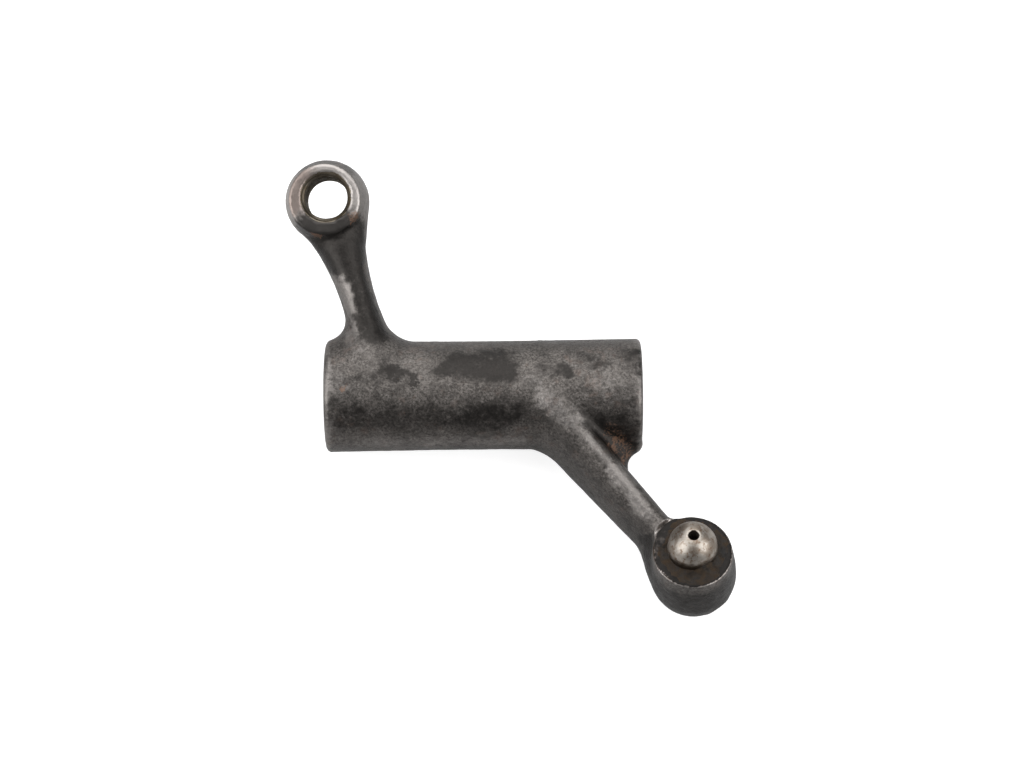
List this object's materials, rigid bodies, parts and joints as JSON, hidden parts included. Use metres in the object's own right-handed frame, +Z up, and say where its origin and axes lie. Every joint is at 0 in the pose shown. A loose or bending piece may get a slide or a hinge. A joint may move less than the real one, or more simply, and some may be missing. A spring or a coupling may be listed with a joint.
{
  "type": "rocker arm",
  "caption": "Overhead-valve rocker arm: forged spindle barrel with an arm to a tapped adjuster eye and an arm to a domed boss with a drilled ball pin.",
  "frame": {"origin": "on the spindle bore's axis, midway along the barrel", "axes": "+X along the spindle bore towards the ball pin's end, +Z up as the part lies at rest on its barrel and the boss's dome, with the ball pin pointing up, +Y towards the adjuster eye"},
  "size_m": [0.0726, 0.0743, 0.0245],
  "materials": {
    "forged_steel": "dark forged and oil-blackened steel, worn to satin on the edges, with stains and light rust",
    "hardened_steel": "hardened and polished, worn",
    "plug_steel": "dark, set flush and punched over"
  },
  "bodies": {
    "root": {"rocker_body": "forged_steel", "ball_pin": "hardened_steel", "oilway_plug": "plug_steel"}
  },
  "joints": []
}
